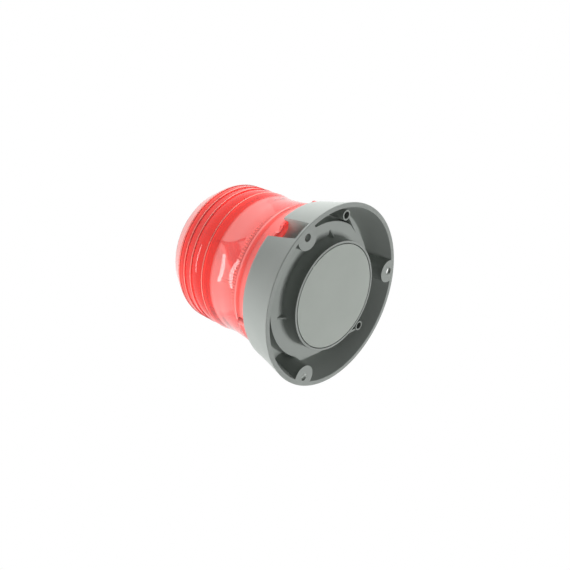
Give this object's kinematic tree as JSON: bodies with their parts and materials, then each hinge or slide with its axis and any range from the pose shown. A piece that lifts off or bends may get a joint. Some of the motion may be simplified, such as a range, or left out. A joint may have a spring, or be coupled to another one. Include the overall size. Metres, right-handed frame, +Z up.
{
  "type": "rotating beacon light",
  "caption": "Compact rotating warning beacon: round grey screw-down base, ribbed red lens, bulb on the axis and a geared motor that turns a mirror round it.",
  "frame": {"origin": "centre of the mounting rim, in the plane that lies on the surface the beacon is screwed to", "axes": "+Z up through the lens along the lamp and rotor axis; one mounting hole lies on -X"},
  "size_m": [0.13, 0.13, 0.1175],
  "materials": {
    "housing_plastic": "satin moulded grey",
    "cover_plastic": "satin moulded grey",
    "lens_red": "clear glossy red",
    "rubber": "matte black",
    "steel": "bright",
    "zinc_steel": "zinc plated",
    "aluminium": "satin",
    "brass": "satin",
    "bronze": "sintered, dull",
    "fibre": "brown, dull",
    "bulb_glass": "clear",
    "tungsten": "dull",
    "black_plastic": "satin black",
    "pale_plastic": "satin ivory",
    "gear_plastic": "natural nylon",
    "mirror": "vacuum metallised",
    "capacitor_skin": "dipped",
    "lead_skin": "insulation"
  },
  "bodies": {
    "base": {"housing_back": "housing_plastic", "housing_left": "housing_plastic", "housing_front": "housing_plastic", "step_floor": "housing_plastic", "grommet_floor": "housing_plastic", "cup_shell": "housing_plastic", "drive_shroud": "pale_plastic", "bottom_cover": "cover_plastic", "cover_seal": "rubber", "lens": "lens_red", "lens_gasket": "rubber", "lens_screws": "steel", "cable_grommet": "rubber", "chassis_plate": "zinc_steel", "chassis_screws": "steel", "bearing_post": "aluminium", "post_screws": "steel", "lamp_holder": "brass", "holder_insulator": "fibre", "contact_spring": "steel", "bulb_cap": "brass", "bulb_glass": "bulb_glass", "filament": "tungsten", "motor_can": "zinc_steel", "motor_end_cap": "black_plastic", "motor_terminals": "brass", "motor_screws": "steel", "gear_plate": "zinc_steel", "pillars": "aluminium", "pillar_screws": "steel", "idler_pin": "steel", "idler_clip": "steel", "thrust_washer": "steel", "retaining_clip": "steel", "terminal_block": "gear_plastic", "terminal_screws": "brass", "capacitor": "capacitor_skin", "inner_leads": "lead_skin"},
    "rotor": {"rotor_bush": "bronze", "rotor_gear": "gear_plastic", "turntable": "pale_plastic", "turntable_screws": "steel", "reflector": "mirror", "reflector_bracket": "pale_plastic", "reflector_screws": "steel"},
    "idler": {"idler_gear": "gear_plastic"},
    "motor_armature": {"motor_shaft": "steel", "motor_pinion": "gear_plastic"},
    "spring_contact": {"lamp_contact": "brass"}
  },
  "joints": [
    {"name": "rotor_spin", "type": "hinge", "parent": "base", "child": "rotor", "pos_m": [0, 0, 0.042], "axis": [0, 0, 1], "continuous": true},
    {"name": "idler_spin", "type": "hinge", "parent": "base", "child": "idler", "pos_m": [0.03093, 0.01126, 0], "axis": [0, 0, 1], "continuous": true},
    {"name": "motor_spin", "type": "hinge", "parent": "base", "child": "motor_armature", "pos_m": [0.02188, 0.0246, 0], "axis": [0, 0, 1], "continuous": true},
    {"name": "contact_press", "type": "slide", "parent": "base", "child": "spring_contact", "axis": [0, 0, -1], "range_m": [0, 0.0015], "stiffness_N_per_m": 400, "springref_m": -0.002, "deforming": ["contact_spring"]}
  ],
  "couplings": [
    {"joint": "idler_spin", "follows": "rotor_spin", "ratio": -5.8333},
    {"joint": "motor_spin", "follows": "rotor_spin", "ratio": 17.5}
  ]
}
